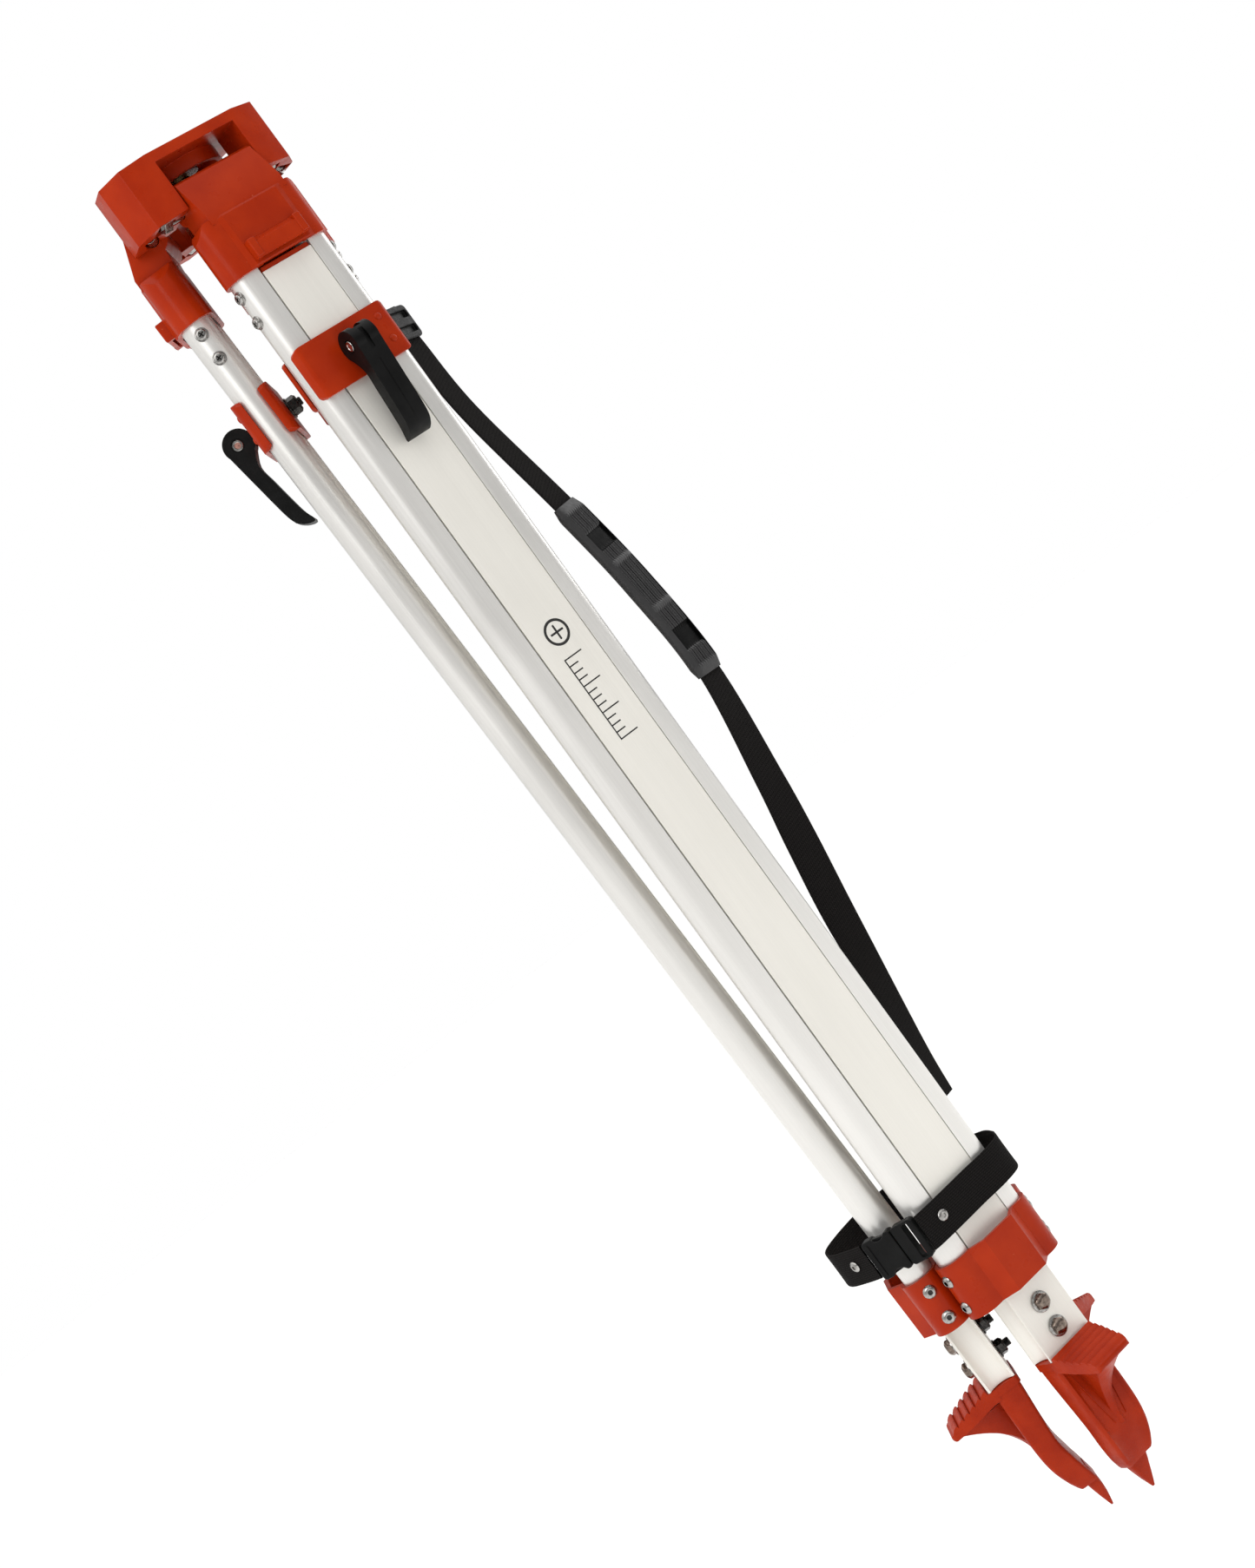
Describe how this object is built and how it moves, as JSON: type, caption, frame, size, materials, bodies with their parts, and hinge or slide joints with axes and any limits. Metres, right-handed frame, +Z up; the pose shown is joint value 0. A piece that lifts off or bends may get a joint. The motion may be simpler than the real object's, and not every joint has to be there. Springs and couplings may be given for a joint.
{
  "type": "surveyor tripod",
  "caption": "Folded aluminium surveying tripod with flat red cast head, centring screw, telescoping legs with cam-lever clamps, pointed feet with treads, binding strap and shoulder strap.",
  "frame": {"origin": "on the ground plane under the middle of the folded outline with its straps; the tripod's own axis stands at x = -13.8 mm, y = 4.8 mm, because the carrying strap hangs out on one side", "axes": "+Z up along the folded tripod, from the foot points to the head; -Y out of leg A, which carries the front of the binding strap"},
  "size_m": [0.1734, 0.1445, 1.0499],
  "materials": {
    "red_paint": "gloss red-orange enamel on cast aluminium",
    "aluminium": "satin clear-anodised extrusion",
    "steel": "bright zinc plated",
    "dark_steel": "dark bright-plated steel",
    "brass": "machined",
    "black_plastic": "fine-grained black nylon",
    "webbing": "woven black polypropylene webbing",
    "rubber": "moulded black rubber"
  },
  "bodies": {
    "head": {"head_plate": "red_paint", "screw_arm_pin": "steel", "hinge_pin_a": "steel", "hinge_pin_b": "steel", "hinge_pin_c": "steel"},
    "screw_arm": {"screw_arm": "dark_steel"},
    "screw_slide": {"screw_bush": "brass"},
    "screw": {"centring_screw": "brass"},
    "hook": {"plumb_hook": "steel"},
    "leg_a": {"top_bracket_a": "red_paint", "rail_left_a": "aluminium", "rail_right_a": "aluminium", "lower_bracket_a": "red_paint", "binding_band": "webbing", "buckle_socket": "black_plastic", "buckle_plug": "black_plastic"},
    "inner_leg_a": {"inner_rail_a": "aluminium", "foot_a": "red_paint", "foot_bolt_upper_a": "dark_steel", "foot_bolt_lower_a": "dark_steel", "clamp_back_a": "red_paint", "clamp_bolt_a": "dark_steel", "clamp_nut_a": "dark_steel", "lever_pin_a": "steel"},
    "clamp_plate_a": {"clamp_front_a": "red_paint"},
    "lever_a": {"clamp_lever_a": "black_plastic"},
    "leg_b": {"top_bracket_b": "red_paint", "rail_left_b": "aluminium", "rail_right_b": "aluminium", "lower_bracket_b": "red_paint"},
    "inner_leg_b": {"inner_rail_b": "aluminium", "foot_b": "red_paint", "foot_bolt_upper_b": "dark_steel", "foot_bolt_lower_b": "dark_steel", "clamp_back_b": "red_paint", "clamp_bolt_b": "dark_steel", "clamp_nut_b": "dark_steel", "lever_pin_b": "steel"},
    "clamp_plate_b": {"clamp_front_b": "red_paint"},
    "lever_b": {"clamp_lever_b": "black_plastic"},
    "leg_c": {"top_bracket_c": "red_paint", "rail_left_c": "aluminium", "rail_right_c": "aluminium", "lower_bracket_c": "red_paint", "shoulder_strap": "webbing", "shoulder_pad": "rubber", "strap_slider": "black_plastic"},
    "inner_leg_c": {"inner_rail_c": "aluminium", "foot_c": "red_paint", "foot_bolt_upper_c": "dark_steel", "foot_bolt_lower_c": "dark_steel", "clamp_back_c": "red_paint", "clamp_bolt_c": "dark_steel", "clamp_nut_c": "dark_steel", "lever_pin_c": "steel"},
    "clamp_plate_c": {"clamp_front_c": "red_paint"},
    "lever_c": {"clamp_lever_c": "black_plastic"}
  },
  "joints": [
    {"name": "screw_arm_swing", "type": "hinge", "parent": "head", "child": "screw_arm", "pos_m": [-0.0138, 0.0318, 1.038], "axis": [0, 0, 1], "range_deg": [-12, 12]},
    {"name": "screw_arm_slide", "type": "slide", "parent": "screw_arm", "child": "screw_slide", "axis": [0, 1, 0], "range_m": [-0.006, 0.006]},
    {"name": "centring_screw_turn", "type": "hinge", "parent": "screw_slide", "child": "screw", "pos_m": [-0.0138, 0.0048, 1], "axis": [0, 0, 1], "continuous": true},
    {"name": "plumb_hook_swing", "type": "hinge", "parent": "screw", "child": "hook", "pos_m": [-0.0138, 0.0048, 0.9865], "axis": [1, 0, 0], "range_deg": [-15, 15]},
    {"name": "leg_a_swing", "type": "hinge", "parent": "head", "child": "leg_a", "pos_m": [-0.0138, -0.0292, 1.012], "axis": [-1, 0, 0], "range_deg": [0, 32]},
    {"name": "leg_a_extend", "type": "slide", "parent": "leg_a", "child": "inner_leg_a", "axis": [0, 0.0155, -0.9999], "range_m": [0, 0.54]},
    {"name": "leg_a_lever", "type": "hinge", "parent": "inner_leg_a", "child": "lever_a", "pos_m": [-0.0138, -0.06298, 0.88146], "axis": [-1, 0, 0], "range_deg": [0, 100]},
    {"name": "leg_a_clamp_plate", "type": "slide", "parent": "inner_leg_a", "child": "clamp_plate_a", "axis": [0, -0.9999, -0.0155], "range_m": [0, 0.0006]},
    {"name": "leg_b_swing", "type": "hinge", "parent": "head", "child": "leg_b", "pos_m": [-0.04324, 0.0218, 1.012], "axis": [0.5, 0.866, 0], "range_deg": [0, 32], "deforming": ["binding_band", "buckle_socket", "buckle_plug"]},
    {"name": "leg_b_extend", "type": "slide", "parent": "leg_b", "child": "inner_leg_b", "axis": [0.0134, -0.0077, -0.9999], "range_m": [0, 0.54]},
    {"name": "leg_b_lever", "type": "hinge", "parent": "inner_leg_b", "child": "lever_b", "pos_m": [-0.0725, 0.03869, 0.88146], "axis": [0.5, 0.866, 0], "range_deg": [0, 100]},
    {"name": "leg_b_clamp_plate", "type": "slide", "parent": "inner_leg_b", "child": "clamp_plate_b", "axis": [-0.8659, 0.4999, -0.0155], "range_m": [0, 0.0006]},
    {"name": "leg_c_swing", "type": "hinge", "parent": "head", "child": "leg_c", "pos_m": [0.01564, 0.0218, 1.012], "axis": [0.5, -0.866, 0], "range_deg": [0, 32]},
    {"name": "leg_c_extend", "type": "slide", "parent": "leg_c", "child": "inner_leg_c", "axis": [-0.0134, -0.0077, -0.9999], "range_m": [0, 0.54]},
    {"name": "leg_c_lever", "type": "hinge", "parent": "inner_leg_c", "child": "lever_c", "pos_m": [0.0449, 0.03869, 0.88146], "axis": [0.5, -0.866, 0], "range_deg": [0, 100]},
    {"name": "leg_c_clamp_plate", "type": "slide", "parent": "inner_leg_c", "child": "clamp_plate_c", "axis": [0.8659, 0.4999, -0.0155], "range_m": [0, 0.0006]}
  ],
  "couplings": [
    {"joint": "leg_a_clamp_plate", "follows": "leg_a_lever", "m_per_rad": 0.000343},
    {"joint": "leg_b_clamp_plate", "follows": "leg_b_lever", "m_per_rad": 0.000343},
    {"joint": "leg_c_clamp_plate", "follows": "leg_c_lever", "m_per_rad": 0.000343}
  ]
}
